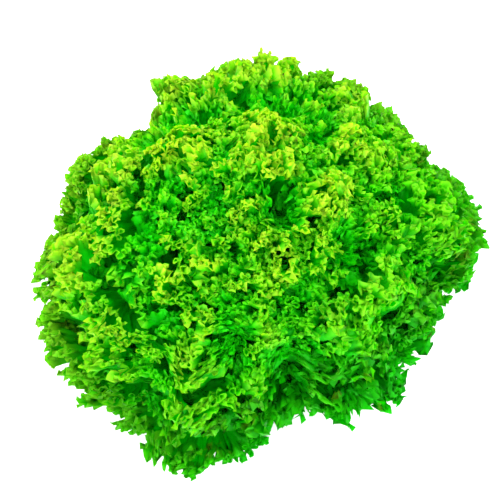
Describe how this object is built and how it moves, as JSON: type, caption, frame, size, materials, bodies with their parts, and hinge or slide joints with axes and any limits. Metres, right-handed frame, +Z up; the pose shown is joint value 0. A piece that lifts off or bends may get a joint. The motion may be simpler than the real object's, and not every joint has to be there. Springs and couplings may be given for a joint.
{
  "type": "lollo bionda lettuce",
  "caption": "Head of frilled loose-leaf lettuce: a short cut stem that it stands on, and a spiral of fan-shaped green leaves with curled edges that close into a dome.",
  "frame": {"origin": "centre of the stem's cut face, which the head stands on", "axes": "+Z up along the stem, away from the cut face; -Y is the side that faced the camera"},
  "size_m": [0.2832, 0.2611, 0.1355],
  "materials": {
    "stem": "moist cut stem, satin",
    "outer_leaf": "fresh leaf, satin, yellow-green at the frilled edge",
    "middle_leaf": "fresh leaf, satin, yellow-green at the frilled edge",
    "inner_leaf": "fresh leaf, satin, yellow-green at the frilled edge",
    "heart_leaf": "young leaf, satin, pale yellow-green"
  },
  "bodies": {
    "root": {"stem": "stem", "outer_leaf_01": "outer_leaf", "outer_leaf_02": "outer_leaf", "outer_leaf_03": "outer_leaf", "outer_leaf_04": "outer_leaf", "outer_leaf_05": "outer_leaf", "outer_leaf_06": "outer_leaf", "outer_leaf_07": "outer_leaf", "outer_leaf_08": "outer_leaf", "outer_leaf_09": "outer_leaf", "outer_leaf_10": "outer_leaf", "outer_leaf_11": "outer_leaf", "outer_leaf_12": "outer_leaf", "middle_leaf_01": "middle_leaf", "middle_leaf_02": "middle_leaf", "middle_leaf_03": "middle_leaf", "middle_leaf_04": "middle_leaf", "middle_leaf_05": "middle_leaf", "middle_leaf_06": "middle_leaf", "middle_leaf_07": "middle_leaf", "middle_leaf_08": "middle_leaf", "middle_leaf_09": "middle_leaf", "middle_leaf_10": "middle_leaf", "middle_leaf_11": "middle_leaf", "middle_leaf_12": "middle_leaf", "middle_leaf_13": "middle_leaf", "middle_leaf_14": "middle_leaf", "inner_leaf_01": "inner_leaf", "inner_leaf_02": "inner_leaf", "inner_leaf_03": "inner_leaf", "inner_leaf_04": "inner_leaf", "inner_leaf_05": "inner_leaf", "inner_leaf_06": "inner_leaf", "inner_leaf_07": "inner_leaf", "inner_leaf_08": "inner_leaf", "inner_leaf_09": "inner_leaf", "inner_leaf_10": "inner_leaf", "inner_leaf_11": "inner_leaf", "inner_leaf_12": "inner_leaf", "inner_leaf_13": "inner_leaf", "heart_leaf_01": "heart_leaf", "heart_leaf_02": "heart_leaf", "heart_leaf_03": "heart_leaf", "heart_leaf_04": "heart_leaf", "heart_leaf_05": "heart_leaf", "heart_leaf_06": "heart_leaf", "heart_leaf_07": "heart_leaf", "heart_leaf_08": "heart_leaf", "heart_leaf_09": "heart_leaf"}
  },
  "joints": []
}
